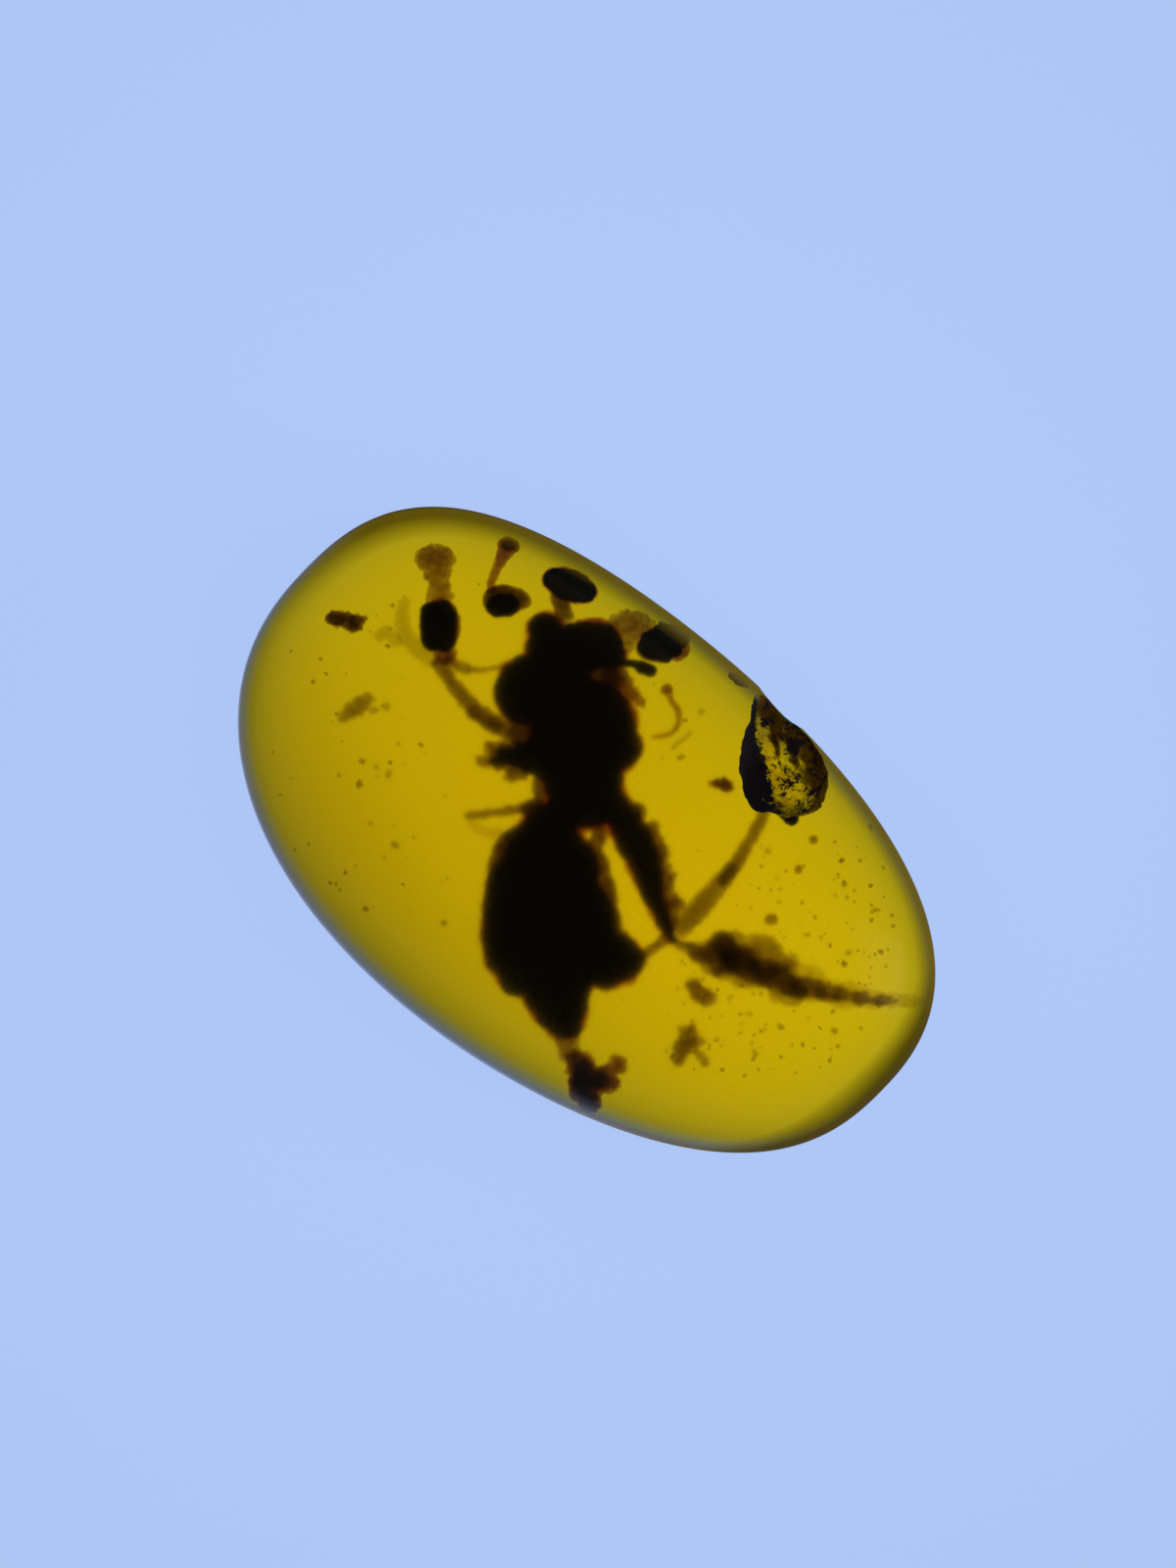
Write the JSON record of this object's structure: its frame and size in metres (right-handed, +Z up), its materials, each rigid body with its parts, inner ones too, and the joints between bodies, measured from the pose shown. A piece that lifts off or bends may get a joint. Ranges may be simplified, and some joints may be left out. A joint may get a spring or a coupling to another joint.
{
  "type": "insect in amber",
  "caption": "Polished egg-shaped amber cabochon with an insect sealed inside, domed on top, flat underneath, with a broken hollow in its rim.",
  "frame": {"origin": "middle of the stone's box, on the flat base", "axes": "+X along the stone's length towards its narrower end, +Z up from the flat base"},
  "size_m": [0.012, 0.0074, 0.0044],
  "materials": {
    "amber": "clear yellow amber, polished"
  },
  "bodies": {
    "root": {"amber": "amber"}
  },
  "joints": []
}
